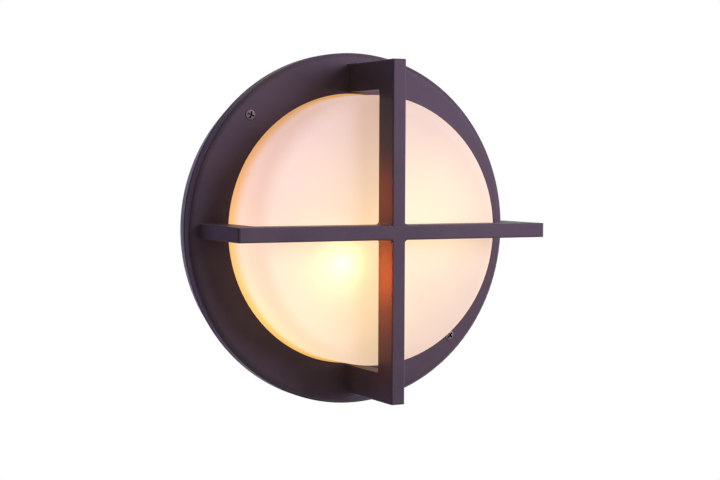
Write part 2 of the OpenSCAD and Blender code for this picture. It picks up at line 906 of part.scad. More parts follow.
module terminal_screws() {
    color(brass) on_wall()
        for (way = [-1, 0, 1], side = [-1, 1])
            translate([way * way_pitch, side * block_d / 4 - block_drop, floor_t + block_h - clamp_well])
                difference() {
                    cylinder(d = clamp_screw_d, h = clamp_screw_h);
                    translate([-clamp_screw_d, -clamp_slot_w / 2, clamp_screw_h - clamp_slot_w])
                        cube([2 * clamp_screw_d, clamp_slot_w, clamp_screw_h]);
                }
}

module block_screws() {
    color(steel) on_wall()
        for (side = [-1, 1])
            translate([side * way_pitch / 2, -block_drop, floor_t + block_strip_h])
                cross_screw(fine_screw_d, block_head_d, block_screw_len);
}

module earth_tag() {
    color(brass) on_wall()
        translate([0, earth_y, tag_z])
            difference() {
                union() {
                    translate([earth_x, 0, 0])
                        cylinder(d = tag_d, h = tag_t);
                    translate([barrel_x, -barrel_d / 4, 0])
                        cube([earth_x - barrel_x, barrel_d / 2, tag_t]);
                    translate([barrel_x, 0, barrel_d / 2])
                        rotate([0, quarter, 0])
                            cylinder(d = barrel_d, h = barrel_len - barrel_d / 2);
                }
                translate([earth_x, 0, -eps])
                    cylinder(r = small_screw_d / 2 + screw_gap, h = tag_t + 2 * eps);
                translate([barrel_x - eps, 0, barrel_d / 2])
                    rotate([0, quarter, 0])
                        cylinder(r = lead_d / 2 + lead_gap, h = lead_entry + lead_gap);
            }
}

module earth_screw() {
    color(brass) on_wall()
        translate([earth_x, earth_y, tag_z + tag_t])
            cross_screw(small_screw_d, small_head_d, earth_screw_len);
}

// A lead: its hand-set stations, rounded into one curve and swept with a round section
function unit(v) = v / norm(v);
function curve_at(a, b, c, d, t) =
    (2 * b + (c - a) * t + (2 * a - 5 * b + 4 * c - d) * t * t + (3 * b - a - 3 * c + d) * t * t * t) / 2;
function curve(p) = [
    for (i = [0 : len(p) - 2], k = [0 : curve_steps - 1])
        curve_at(p[max(i - 1, 0)], p[i], p[i + 1], p[min(i + 2, len(p) - 1)], k / curve_steps),
    p[len(p) - 1]
];
function heading(p, i) = unit(p[min(i + 1, len(p) - 1)] - p[max(i - 1, 0)]);
function across(v, t) = unit(v - (v * t) * t);
function carried(p, v, i = 0) =
    i == len(p) ? [] : let (m = across(v, heading(p, i))) concat([m], carried(p, m, i + 1));

module lead(stations) {
    path = curve(stations);
    sides = carried(path, [0.2, 0.3, 1]);
    last = len(path) - 1;
    points = [
        for (i = [0 : last], k = [0 : lead_sides - 1])
            let (
                turn = 4 * quarter * k / lead_sides,
                m = sides[i],
                n = cross(heading(path, i), m)
            )
            path[i] + lead_d / 2 * (cos(turn) * m + sin(turn) * n)
    ];
    start_cap = [for (k = [0 : lead_sides - 1]) k];
    end_cap = [for (k = [lead_sides - 1 : -1 : 0]) last * lead_sides + k];
    walls = [
        for (i = [0 : last - 1], k = [0 : lead_sides - 1])
            let (
                a = i * lead_sides + k,
                b = i * lead_sides + (k + 1) % lead_sides
            )
            each [[a, a + lead_sides, b + lead_sides], [a, b + lead_sides, b]]
    ];
    polyhedron(points, concat([start_cap, end_cap], walls));
}

// From the back of a lampholder, through bracket and reflector, down to the wiring space
function lead_drop_stations(side) = [
    [holder_x + lead_entry, lamp_y + side * lead_pitch / 2, lead_entry_z],
    [holder_x, lamp_y + side * lead_pitch / 2, lead_entry_z],
    [holder_x - bracket_t - 1, lamp_y + side * lead_pitch / 2, lead_entry_z],
    [foot_x + 2, lamp_y + side * lead_pitch / 2, lead_entry_z - 4],
    [foot_x, lamp_y + side * lead_pitch / 2, lead_entry_z - 12],
    [foot_x, lamp_y + side * lead_pitch / 2, reflector_front + 6],
    [foot_x, lamp_y + side * lead_pitch / 2, reflector_back - 1]
];
function upper_route(side, way) = concat(lead_drop_stations(side), [
    [foot_x + 4, lamp_y - 6 + 2.5 * side, wire_z],
    [-42 + 5 * side, -6 + 3 * side, wire_z],
    [way * way_pitch - 1.5, block_top_y + 9, wire_z],
    [way * way_pitch, block_top_y + 3, wire_z],
    [way * way_pitch, block_top_y - lead_entry, wire_z]
]);
// The lower lamp's leads, drawn turned half round with the lamp
function lower_route(side, way) = concat(lead_drop_stations(side), [
    [foot_x + 1 - 4 * side, lamp_y + 9, wire_z],
    [-46 - 3 * side, 60 + 4 * side, wire_z],
    [-way * way_pitch - 18, loop_y + 2.5 * side, wire_z],
    [-way * way_pitch - 3, -block_low_y + 9, wire_z],
    [-way * way_pitch, -block_low_y + 3, wire_z],
    [-way * way_pitch, -block_low_y - lead_entry, wire_z]
]);
earth_route = [
    [way_pitch, block_top_y - lead_entry, wire_z],
    [way_pitch, block_top_y + 3, wire_z],
    [way_pitch + 3, earth_y - 4, (wire_z + tag_z + barrel_d / 2) / 2],
    [barrel_x - 3, earth_y, tag_z + barrel_d / 2],
    [barrel_x - 0.5, earth_y, tag_z + barrel_d / 2],
    [barrel_x + lead_entry, earth_y, tag_z + barrel_d / 2]
];

module upper_lead(side, way, tint) {
    color(tint) on_wall()
        lead(upper_route(side, way));
}

module lower_lead(side, way, tint) {
    color(tint) on_wall() at_lamp(true)
        lead(lower_route(side, way));
}

module earth_lead() {
    color(earth_green) on_wall()
        lead(earth_route);
}

base_pan();
wall_gasket();
cable_grommet();
reflector();
reflector_screws();
bracket(false);  // upper_bracket
bracket(true);  // lower_bracket
bracket_screws();
lampholder(false);  // upper_lampholder
lampholder(true);  // lower_lampholder
holder_screws();
screw_shell(false);  // upper_screw_shell
screw_shell(true);  // lower_screw_shell
centre_contact(false);  // upper_centre_contact
centre_contact(true);  // lower_centre_contact
lamp(false);  // upper_lamp
lamp(true);  // lower_lamp
terminal_block();
terminal_screws();
block_screws();
earth_tag();
earth_screw();
upper_lead(-1, -1, live_brown);  // upper_live_lead
upper_lead(1, 0, neutral_blue);  // upper_neutral_lead
lower_lead(1, -1, live_brown);  // lower_live_lead
lower_lead(-1, 0, neutral_blue);  // lower_neutral_lead
earth_lead();
rim_gasket();
glass_diffuser();
glass_gasket();
glass_clip(quarters[0]);  // glass_clip_right
glass_clip(quarters[1]);  // glass_clip_top
glass_clip(quarters[2]);  // glass_clip_left
glass_clip(quarters[3]);  // glass_clip_bottom
clip_screws();
guard_frame();
frame_screws();
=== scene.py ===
import math

import bmesh
import bpy
from mathutils import Matrix, Vector


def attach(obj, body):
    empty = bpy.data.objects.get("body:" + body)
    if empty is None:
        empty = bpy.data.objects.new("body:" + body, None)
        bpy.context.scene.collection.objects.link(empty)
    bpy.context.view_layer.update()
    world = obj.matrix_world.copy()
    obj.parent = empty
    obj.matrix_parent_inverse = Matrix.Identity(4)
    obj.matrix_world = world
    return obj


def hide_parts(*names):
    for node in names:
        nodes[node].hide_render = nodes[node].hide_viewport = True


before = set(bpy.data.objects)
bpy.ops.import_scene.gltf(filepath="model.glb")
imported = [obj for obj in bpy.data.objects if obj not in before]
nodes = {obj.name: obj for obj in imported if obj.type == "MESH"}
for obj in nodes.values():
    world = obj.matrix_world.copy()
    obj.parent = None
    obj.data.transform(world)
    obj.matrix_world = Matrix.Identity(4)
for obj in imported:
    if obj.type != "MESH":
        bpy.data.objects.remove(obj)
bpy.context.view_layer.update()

scene = bpy.context.scene
scene.view_settings.view_transform = "Standard"
print("frame:", len(nodes), "nodes")

mm = 0.001
plainWhite = (1, 1, 1, 1)
refraction = 1.5   # of glass and of the clear films


# sRGB hex code to the linear colour that shaders take
def tint(hexCode):
    parts = [int(hexCode[i:i + 2], 16) / 255 for i in (1, 3, 5)]
    return tuple(p / 12.92 if p <= 0.04045 else ((p + 0.055) / 1.055) ** 2.4 for p in parts) + (1.0,)


def addObject(name, data):
    thing = bpy.data.objects.new(name, data)
    scene.collection.objects.link(thing)
    return thing


# Area lamp that faces along its aim
def addLamp(name, place, aim, power, colour):
    data = bpy.data.lights.new(name, "AREA")
    data.energy = power
    data.color = tint(colour)[:3]
    lamp = addObject(name, data)
    lamp.matrix_world = Matrix.Translation(place) @ aim.to_track_quat("-Z", "Y").to_matrix().to_4x4()
    return lamp


# Adds one node: sockets holds values, links or lists of links by input name or index,
# the rest are the node's own settings
def addNode(tree, kind, sockets=None, **settings):
    node = tree.nodes.new(kind)
    for name, value in settings.items():
        setattr(node, name, value)
    for key, value in (sockets or {}).items():
        for one in value if isinstance(value, list) else [value]:
            if isinstance(one, bpy.types.NodeSocket):
                tree.links.new(one, node.inputs[key])
            else:
                node.inputs[key].default_value = one
    return node


def reckon(tree, operation, *values):
    return addNode(tree, "ShaderNodeMath", dict(enumerate(values)), operation=operation).outputs[0]


def joinColours(tree, operation, first, second):
    return addNode(tree, "ShaderNodeVectorMath", {0: first, 1: second}, operation=operation).outputs[0]


def scaleColour(tree, colour, share):
    return addNode(tree, "ShaderNodeVectorMath", {0: colour, "Scale": share}, operation="SCALE").outputs[0]


# Inputs 6 and 7 and output 2 of this node are its colours
def blend(tree, share, first, second):
    return addNode(tree, "ShaderNodeMix", {0: share, 6: first, 7: second}, data_type="RGBA").outputs[2]


# Turns the span of a value into another range, from nought to one if no other is named
def remap(tree, value, span, result=(0, 1), **settings):
    limits = {"From Min": span[0], "From Max": span[1], "To Min": result[0], "To Max": result[1]}
    return addNode(tree, "ShaderNodeMapRange", {"Value": value, **limits}, **settings).outputs[0]


def noise(tree, place, look):
    sockets = {"Vector": place, "Scale": 1 / (look["size"] * mm)}
    sockets.update({"Detail": look["detail"], "Roughness": look["roughness"]})
    return addNode(tree, "ShaderNodeTexNoise", sockets).outputs[0]


def bump(tree, height, look):
    sockets = {"Height": height, "Strength": look["strength"], "Distance": look["depth"] * mm}
    return addNode(tree, "ShaderNodeBump", sockets).outputs[0]


def mixShaders(tree, share, first, second):
    return addNode(tree, "ShaderNodeMixShader", {0: share, 1: first.outputs[0], 2: second.outputs[0]})


# One for the rays of the eye, of gloss and of clear glass, nought for those that carry light alone
def seenDirectly(tree):
    rays = addNode(tree, "ShaderNodeLightPath").outputs
    seen = reckon(tree, "MAXIMUM", rays["Is Camera Ray"], rays["Is Glossy Ray"])
    return reckon(tree, "MAXIMUM", seen, rays["Is Transmission Ray"])


def newMaterial(name):
    material = bpy.data.materials.new(name)
    material.use_nodes = True
    material.node_tree.nodes.clear()
    return material, material.node_tree


def objectPlace(tree):
    return addNode(tree, "ShaderNodeTexCoord").outputs["Object"]


def giveSurface(tree, shader):
    addNode(tree, "ShaderNodeOutputMaterial", {"Surface": shader.outputs[0]})


# Camera at the photograph's viewing angle
cameraSet = {
    "place": (-0.5961, -1.2155, 0.0556),          # m
    "yaw": 27.13, "pitch": -2.83, "roll": 0.23,   # degrees
    "lens": 77.0, "sensor": 36.0,                 # mm, the sensor across the picture's width
    "clip": (0.01, 50),                           # m
}


def makeCamera(view):
    yaw, pitch, roll = (math.radians(view[key]) for key in ("yaw", "pitch", "roll"))
    ahead = Vector((math.sin(yaw) * math.cos(pitch), math.cos(yaw) * math.cos(pitch), math.sin(pitch)))
    level = Vector((math.cos(yaw), -math.sin(yaw), 0))
    upright = level.cross(ahead)
    right = level * math.cos(roll) + upright * math.sin(roll)
    up = upright * math.cos(roll) - level * math.sin(roll)
    data = bpy.data.cameras.new("camera")
    data.sensor_fit = "HORIZONTAL"
    data.sensor_width = view["sensor"]
    data.lens = view["lens"]
    data.clip_start, data.clip_end = view["clip"]
    camera = addObject("camera", data)
    turn = Matrix((right, up, -ahead)).transposed().to_4x4()
    camera.matrix_world = Matrix.Translation(view["place"]) @ turn
    scene.camera = camera


# Studio, in m: white all round for what the eye and the gloss see, a plain soft level for the light itself
studio = {
    "roomLevel": 0.13,
    "floor": {"height": -1.30, "radius": 3.0, "sides": 96, "colour": "#f2f2f2"},
    # behind on the left, unseen itself: what the sides that look that way mirror
    "screen": {"place": (-0.95, 1.30, 0.10), "width": 1.9, "height": 2.6, "colour": "#b69dd0"},
    "target": (0, -0.05, 0),   # what the lamps face
    "lamps": {
        "keyRight": {"place": (1.45, -1.70, 0.55), "size": 1.6, "power": 65.0, "colour": "#efeaff"},
        "topSoft": {"place": (0.10, -0.75, 1.70), "size": 1.1, "power": 8.0, "colour": "#fbfaff"},
    },
}


def makeRoom(level):
    world = bpy.data.worlds.new("studio")
    world.use_nodes = True
    tree = world.node_tree
    tree.nodes.clear()
    room = addNode(tree, "ShaderNodeBackground", {"Color": plainWhite, "Strength": level})
    white = addNode(tree, "ShaderNodeBackground", {"Color": plainWhite, "Strength": 1.0})
    mixed = mixShaders(tree, seenDirectly(tree), room, white)
    addNode(tree, "ShaderNodeOutputWorld", {"Surface": mixed.outputs[0]})
    scene.world = world


def makeFloor(sizes):
    mesh = bpy.data.meshes.new("floor")
    shape = bmesh.new()
    bmesh.ops.create_circle(shape, cap_ends=True, segments=sizes["sides"], radius=sizes["radius"])
    bmesh.ops.translate(shape, verts=shape.verts, vec=(0, 0, sizes["height"]))
    shape.to_mesh(mesh)
    shape.free()
    floor = addObject("floor", mesh)
    material, tree = newMaterial("paleFloor")
    surface = addNode(tree, "ShaderNodeBsdfDiffuse", {"Color": tint(sizes["colour"])})
    glow = addNode(tree, "ShaderNodeEmission", {"Color": plainWhite, "Strength": 1.0})
    giveSurface(tree, mixShaders(tree, seenDirectly(tree), surface, glow))
    mesh.materials.append(material)


def makeScreen(sizes):
    mesh = bpy.data.meshes.new("screen")
    middle = Vector(sizes["place"])
    side = Vector((sizes["width"] / 2, 0, 0))
    rise = Vector((0, 0, sizes["height"] / 2))
    corners = [middle - side - rise, middle + side - rise, middle + side + rise, middle - side + rise]
    mesh.from_pydata(corners, [], [(0, 1, 2, 3)])
    screen = addObject("screen", mesh)
    material, tree = newMaterial("violetScreen")
    glow = addNode(tree, "ShaderNodeEmission", {"Color": tint(sizes["colour"]), "Strength": 1.0})
    unseen = addNode(tree, "ShaderNodeBsdfTransparent")
    rays = addNode(tree, "ShaderNodeLightPath").outputs
    giveSurface(tree, mixShaders(tree, rays["Is Camera Ray"], glow, unseen))
    mesh.materials.append(material)


def makeLamps(lamps, target):
    for name, sizes in lamps.items():
        aim = Vector(target) - Vector(sizes["place"])
        lamp = addLamp(name, sizes["place"], aim, sizes["power"], sizes["colour"])
        lamp.data.shape = "DISK"
        lamp.data.size = sizes["size"]


makeCamera(cameraSet)
makeRoom(studio["roomLevel"])
makeFloor(studio["floor"])
makeScreen(studio["screen"])
makeLamps(studio["lamps"], studio["target"])
print("camera and studio")


# Die-cast aluminium under a dark oil-bronze satin coat: a broad soft sheen, a faint orange-peel skin,
# slow patches in the colour and a few tiny grains caught under the film
# size and depth in mm; a span is the part of a noise that counts
bronzeCoat = {
    "colour": "#473c42", "patchColour": "#4f4248", "grainColour": "#65575d", "edgeColour": "#6a5690",
    "patches": {"size": 45, "detail": 3, "roughness": 0.55, "span": (0.38, 0.66)},
    "grains": {"size": 0.7, "detail": 1, "roughness": 0.5, "span": (0.66, 0.80), "most": 0.45},
    "peel": {"size": 1.6, "detail": 2, "roughness": 0.45, "depth": 0.012, "strength": 0.6},
    "sheen": {"span": (0.30, 0.70), "roughness": (0.38, 0.50)},
    "metal": 0.1, "gloss": 0.25,
}


def castBronzeCoat(look):
    material, tree = newMaterial("castBronzeCoat")
    place = objectPlace(tree)
    patches = noise(tree, place, look["patches"])
    patchShare = remap(tree, patches, look["patches"]["span"])
    ground = blend(tree, patchShare, tint(look["colour"]), tint(look["patchColour"]))
    grains = noise(tree, place, look["grains"])
    grainShare = remap(tree, grains, look["grains"]["span"], (0, look["grains"]["most"]))
    peel = noise(tree, place, look["peel"])
    coat = addNode(tree, "ShaderNodeBsdfPrincipled", {
        "Base Color": blend(tree, grainShare, ground, tint(look["grainColour"])),
        "Roughness": remap(tree, patches, look["sheen"]["span"], look["sheen"]["roughness"]),
        "Normal": bump(tree, peel, look["peel"]),
        "Metallic": look["metal"], "IOR": refraction,
        "Specular IOR Level": look["gloss"], "Specular Tint": tint(look["edgeColour"]),
    })
    giveSurface(tree, coat)
    return material


# Pressed soda glass, acid-frosted on the outside: milky, without a sharp reflection, with painted glow for
# the two warm lamps behind it, hottest over the lower left bulb, a broad painted wash of light on the left
# wall, and painted shade that turns the glow amber down by the ring, where the flange hides the lamps
# sizes, depth, centres, spreads and the y of the rim shade in mm
frostedGlass = {
    "colour": "#747679", "gloss": 0.15,
    "clouds": {"size": 60, "detail": 2, "roughness": 0.5, "span": (0.3, 0.7), "level": (0.96, 1.04)},
    "frost": {"size": 0.9, "detail": 2, "roughness": 0.5, "depth": 0.006, "strength": 0.4},
    "sheen": {"span": (0.3, 0.7), "roughness": (0.46, 0.58)},
    "glowColour": "#ffcbbf", "glowLevel": 0.48,
    "shines": {
        "lowerBulb": {"centre": (-36.5, -76.5, -26), "spread": 7, "colour": "#ff9054", "strength": 190},
        "upperBulb": {"centre": (46, -14.5, 7), "spread": 59, "colour": "#fff0aa", "strength": 3.2},
        "leftWall": {"centre": (-286, 30, -33), "spread": 122, "colour": "#ffbcf7", "strength": 4.3},
        "lowHaze": {"centre": (-71, -40, -53), "spread": 120, "colour": "#f9ff00", "strength": 0.44},
    },
    # painted shade by the ring: its colour, and the y span over which it fades out
    "rimShadeColour": "#f4d488", "rimShadeSpan": (-36, -63.1),
}


# Light that falls off from a centre by 1 / (1 + far * far) squared, far being the distance in spreads
def shine(tree, place, look):
    ends = {0: place, 1: Vector(look["centre"]) * mm}
    distance = addNode(tree, "ShaderNodeVectorMath", ends, operation="DISTANCE").outputs["Value"]
    far = reckon(tree, "DIVIDE", distance, look["spread"] * mm)
    fall = reckon(tree, "POWER", reckon(tree, "MULTIPLY_ADD", far, far, 1.0), -2.0)
    return scaleColour(tree, tint(look["colour"])[:3], reckon(tree, "MULTIPLY", fall, look["strength"]))


def litFrostedGlass(look):
    material, tree = newMaterial("litFrostedGlass")
    place = objectPlace(tree)
    light = scaleColour(tree, tint(look["glowColour"])[:3], look["glowLevel"])
    for one in look["shines"].values():
        light = joinColours(tree, "ADD", light, shine(tree, place, one))
    # painted shade on the glow: dimmer and amber near the ring, where the flange hides the lamps
    depth = addNode(tree, "ShaderNodeSeparateXYZ", {0: place}).outputs["Y"]
    rimShadeSpan = [y * mm for y in look["rimShadeSpan"]]
    clear = remap(tree, depth, rimShadeSpan, interpolation_type="SMOOTHSTEP")
    light = joinColours(tree, "MULTIPLY", light, blend(tree, clear, tint(look["rimShadeColour"]), plainWhite))
    clouds = noise(tree, place, look["clouds"])
    frost = noise(tree, place, look["frost"])
    glass = addNode(tree, "ShaderNodeBsdfPrincipled", {
        "Base Color": tint(look["colour"]),
        "Roughness": remap(tree, frost, look["sheen"]["span"], look["sheen"]["roughness"]),
        "Normal": bump(tree, frost, look["frost"]),
        "IOR": refraction, "Specular IOR Level": look["gloss"],
        "Emission Color": light,
        "Emission Strength": remap(tree, clouds, look["clouds"]["span"], look["clouds"]["level"]),
    })
    giveSurface(tree, glass)
    return material


# Bronze-plated steel screw: a little lighter than the coat, with painted shade that darkens the cross
# recess to near black
# size, depth and reach in mm
bronzePlate = {
    "colour": "#5f5358", "wornColour": "#786b6e", "recessShadeColour": "#120e10",
    "wear": {"size": 3.0, "detail": 4, "roughness": 0.6, "span": (0.42, 0.70),
             "depth": 0.01, "strength": 0.3},
    # painted shade in the recess: its reach, its samples and the part of the occlusion that counts
    "recessShade": {"reach": 1.6, "samples": 8, "span": (0.55, 0.90)},
    "sheen": {"span": (0.3, 0.7), "roughness": (0.42, 0.56)},
    "metal": 0.4, "gloss": 0.1,
}


def platedBronzeSteel(look):
    material, tree = newMaterial("platedBronzeSteel")
    wear = noise(tree, objectPlace(tree), look["wear"])
    wornShare = remap(tree, wear, look["wear"]["span"])
    plating = blend(tree, wornShare, tint(look["colour"]), tint(look["wornColour"]))
    # painted shade: ambient occlusion within a short reach darkens the recess toward the shade colour
    occlusion = addNode(tree, "ShaderNodeAmbientOcclusion", {"Distance": look["recessShade"]["reach"] * mm},
                   samples=look["recessShade"]["samples"], only_local=True)
    unshadedShare = remap(tree, occlusion.outputs["AO"], look["recessShade"]["span"])
    plate = addNode(tree, "ShaderNodeBsdfPrincipled", {
        "Base Color": blend(tree, unshadedShare, tint(look["recessShadeColour"]), plating),
        "Roughness": remap(tree, wear, look["sheen"]["span"], look["sheen"]["roughness"]),
        "Normal": bump(tree, wear, look["wear"]),
        "Metallic": look["metal"], "IOR": refraction, "Specular IOR Level": look["gloss"],
    })
    giveSurface(tree, plate)
    return material


# The other finishes, each a ground with slow patches and a fine skin: first what they share, then for each
# its two colours, the size of patches and skin and the skin's depth in mm, and roughness from and to
plainGround = {
    "patches": {"detail": 3, "roughness": 0.55, "span": (0.38, 0.64)},
    "skin": {"detail": 2, "roughness": 0.5, "strength": 0.6},
    "sheenSpan": (0.3, 0.7),
}
wirePvc = {"skinSize": 0.6, "skinDepth": 0.010, "roughness": (0.38, 0.50), "metal": 0}
plainFinishes = {
    # zinc-plated pressed steel: grey-white metal with cloudy passivation
    "zinc_steel": {"name": "zincPlatedSteel", "colours": ("#b9bcc2", "#a7a9a6"), "patchSize": 9,
                   "skinSize": 0.5, "skinDepth": 0.006, "roughness": (0.28, 0.42), "metal": 1},
    # turned and pressed brass: warm metal, dulled in patches
    "brass": {"name": "pressedBrass", "colours": ("#c9a354", "#a98743"), "patchSize": 6,
              "skinSize": 0.4, "skinDepth": 0.005, "roughness": (0.24, 0.40), "metal": 1},
    # glazed porcelain: hard white gloss over a slightly wavy body
    "porcelain": {"name": "glazedPorcelain", "colours": ("#ece8dd", "#e2ddcf"), "patchSize": 14,
                  "skinSize": 3.0, "skinDepth": 0.020, "roughness": (0.10, 0.18), "metal": 0},
    # stove enamel on steel sheet: even white with a faint orange peel
    "white_enamel": {"name": "whiteStoveEnamel", "colours": ("#efefec", "#e8e8e4"), "patchSize": 40,
                     "skinSize": 1.2, "skinDepth": 0.010, "roughness": (0.22, 0.32), "metal": 0},
    # opal lamp glass: milky white, smooth
    "opal_lamp": {"name": "opalLampGlass", "colours": ("#f4efe2", "#eee7d6"), "patchSize": 25,
                  "skinSize": 2.0, "skinDepth": 0.006, "roughness": (0.16, 0.24), "metal": 0},
    # moulded black rubber: matt, with a grey bloom and a fine tooth
    "black_rubber": {"name": "mouldedBlackRubber", "colours": ("#1c1b1c", "#2a292a"), "patchSize": 7,
                     "skinSize": 0.5, "skinDepth": 0.030, "roughness": (0.62, 0.80), "metal": 0},
    # closed-cell foam strip: dull grey with cells that show as pits
    "grey_foam": {"name": "closedCellFoam", "colours": ("#57585b", "#48494c"), "patchSize": 5,
                  "skinSize": 0.8, "skinDepth": 0.160, "roughness": (0.85, 0.95), "metal": 0},
    # moulded silicone: milky, waxy
    "silicone": {"name": "mouldedSilicone", "colours": ("#b9b2aa", "#aea69d"), "patchSize": 12,
                 "skinSize": 0.8, "skinDepth": 0.012, "roughness": (0.45, 0.58), "metal": 0},
    # PVC wire insulation: smooth and satin, the earth wire green with patches of yellow
    "brown_insulation": {"name": "brownWirePvc", "colours": ("#5f3b22", "#54331d"), "patchSize": 8,
                         **wirePvc},
    "blue_insulation": {"name": "blueWirePvc", "colours": ("#2a5596", "#244b87"), "patchSize": 8,
                        **wirePvc},
    "green_insulation": {"name": "greenWirePvc", "colours": ("#5a8a34", "#c9b23a"), "patchSize": 4,
                         **wirePvc},
}


def plainFinish(ground, look):
    material, tree = newMaterial(look["name"])
    place = objectPlace(tree)
    patches = noise(tree, place, {**ground["patches"], "size": look["patchSize"]})
    patchShare = remap(tree, patches, ground["patches"]["span"])
    skin = {**ground["skin"], "size": look["skinSize"], "depth": look["skinDepth"]}
    surface = addNode(tree, "ShaderNodeBsdfPrincipled", {
        "Base Color": blend(tree, patchShare, *(tint(colour) for colour in look["colours"])),
        "Roughness": remap(tree, patches, ground["sheenSpan"], look["roughness"]),
        "Normal": bump(tree, noise(tree, place, skin), skin),
        "Metallic": look["metal"],
    })
    giveSurface(tree, surface)
    return material


finishes = {
    "bronze_coat": castBronzeCoat(bronzeCoat),
    "frosted_glass": litFrostedGlass(frostedGlass),
    "bronze_screw": platedBronzeSteel(bronzePlate),
}
for slotName, look in plainFinishes.items():
    finishes[slotName] = plainFinish(plainGround, look)
slotOf = {name: node.data.materials[0].name.split(".")[0] for name, node in nodes.items()}
for name, node in nodes.items():
    node.data.materials[0] = finishes[slotOf[name]]
print("finishes:", len(finishes))


# Cross-head screws: one tree for all of them, each set standing where its node's screws stand
# sizes in mm: thread, head across, length under the head and pitch; aim is the way the heads face,
# and turns are the angles of the recesses in degrees
toFront = (0, -1, 0)
toWall = (0, 1, 0)
screwSets = {
    "frame_screws": {"thread": 4.0, "head": 8.5, "length": 18.0, "pitch": 0.9,
                     "aim": toFront, "turns": (-20, 45)},
    "reflector_screws": {"thread": 3.5, "head": 6.5, "length": 9.0, "pitch": 0.9,
                         "aim": toFront, "turns": (10, 70, 35, 55)},
    "bracket_screws": {"thread": 3.5, "head": 6.5, "length": 6.0, "pitch": 0.9,
                       "aim": toFront, "turns": (25, 5, 60, 40)},
    "holder_screws": {"thread": 3.0, "head": 5.5, "length": 8.0, "pitch": 0.75,
                      "aim": "outward", "turns": (15, 50, 30, 75)},
    "clip_screws": {"thread": 3.0, "head": 5.5, "length": 6.0, "pitch": 0.75,
                    "aim": toWall, "turns": (0, 35, 20, 65)},
    "block_screws": {"thread": 3.0, "head": 4.5, "length": 9.0, "pitch": 0.75,
                     "aim": toFront, "turns": (40, 12)},
    "earth_screw": {"thread": 3.5, "head": 6.5, "length": 6.0, "pitch": 0.9,
                    "aim": toFront, "turns": (30,)},
}
# What all the screws share: shares of the head's width, of its rise, of the thread and of the pitch
screwForm = {
    "rise": 0.30, "recessWidth": 0.18, "recessLength": 0.70,   # of the head's width
    "dome": 0.28, "recessHeight": 0.70,                        # of the rise
    "core": 0.78,                                              # of the thread's radius
    "ridge": 0.4, "plainTurns": 1.2,                           # of the pitch
    "headSides": 48, "domeRings": 40, "shankSides": 24,
    "sharpAngle": 32,                                          # degrees
}


# The screws of a node, as the boxes of its loose pieces, from left to right and then upward
def screwBoxes(name):
    samePlace = 1e-6   # m
    digits = 4         # of a metre, to sort by
    shape = bmesh.new()
    shape.from_mesh(nodes[name].data)
    bmesh.ops.remove_doubles(shape, verts=shape.verts, dist=samePlace)
    left = set(shape.verts)
    boxes = []
    while left:
        first = left.pop()
        island, edge = [first], [first]
        while edge:
            here = edge.pop()
            for link in here.link_edges:
                other = link.other_vert(here)
                if other in left:
                    left.remove(other)
                    island.append(other)
                    edge.append(other)
        low = Vector([min(v.co[i] for v in island) for i in range(3)])
        high = Vector([max(v.co[i] for v in island) for i in range(3)])
        boxes.append((low, high))
    shape.free()
    return sorted(boxes, key=lambda box: (round(box[0].x, digits), round(box[0].z, digits)))


# Moves a mesh up, after a turn about the upright axis
def lift(tree, mesh, height, turn=0):
    place = addNode(tree, "ShaderNodeCombineXYZ", {"Z": height}).outputs[0]
    sockets = {"Geometry": mesh.outputs[0], "Translation": place, "Rotation": (0, 0, turn)}
    return addNode(tree, "GeometryNodeTransform", sockets).outputs[0]


# Head: the cap of a ball, cut straight at the side and sunk with a cross
def screwHead(tree, given, form):
    rise = given["headRise"]
    ball = addNode(tree, "GeometryNodeMeshUVSphere",
                   {"Segments": form["headSides"], "Rings": form["domeRings"],
                    "Radius": given["domeRadius"]})
    ball = lift(tree, ball, reckon(tree, "SUBTRACT", rise, given["domeRadius"]))
    # the plug stands on the seat and reaches past the dome, as far again as the head is high
    plugHeight = reckon(tree, "MULTIPLY", rise, 2.0)
    plug = addNode(tree, "GeometryNodeMeshCylinder",
                   {"Vertices": form["headSides"], "Radius": given["headRadius"], "Depth": plugHeight})
    plug = lift(tree, plug, rise)
    cap = addNode(tree, "GeometryNodeMeshBoolean", {1: [ball, plug]},
                  operation="INTERSECT", solver="EXACT")
    slotSize = addNode(tree, "ShaderNodeCombineXYZ",
                       {"X": given["recessLength"], "Y": given["recessWidth"], "Z": rise})
    slot = addNode(tree, "GeometryNodeMeshCube", {"Size": slotSize.outputs[0]})
    slotHeight = reckon(tree, "MULTIPLY", rise, form["recessHeight"])
    cross = [lift(tree, slot, slotHeight, turn) for turn in (0, math.pi / 2)]
    return addNode(tree, "GeometryNodeMeshBoolean", {0: cap.outputs[0], 1: cross},
                   operation="DIFFERENCE", solver="EXACT").outputs[0]


# Shank: a core, and a ridge for each turn of the thread
def screwShank(tree, given, form):
    length, pitch = given["length"], given["pitch"]
    coreRadius = reckon(tree, "MULTIPLY", given["threadRadius"], form["core"])
    core = addNode(tree, "GeometryNodeMeshCylinder",
                   {"Vertices": form["shankSides"], "Radius": coreRadius, "Depth": length})
    core = lift(tree, core, reckon(tree, "MULTIPLY", length, -0.5))
    turns = reckon(tree, "SUBTRACT", reckon(tree, "DIVIDE", length, pitch), form["plainTurns"])
    step = addNode(tree, "ShaderNodeCombineXYZ", {"Z": reckon(tree, "MULTIPLY", pitch, -1.0)}).outputs[0]
    stations = addNode(tree, "GeometryNodeMeshLine",
                       {"Count": turns, "Start Location": step, "Offset": step})
    ridge = addNode(tree, "GeometryNodeMeshCone",
                    {"Vertices": form["shankSides"], "Radius Top": coreRadius,
                     "Radius Bottom": given["threadRadius"],
                     "Depth": reckon(tree, "MULTIPLY", pitch, form["ridge"])})
    thread = addNode(tree, "GeometryNodeInstanceOnPoints",
                     {"Points": stations.outputs[0], "Instance": ridge.outputs[0]})
    return [core, thread.outputs[0]]


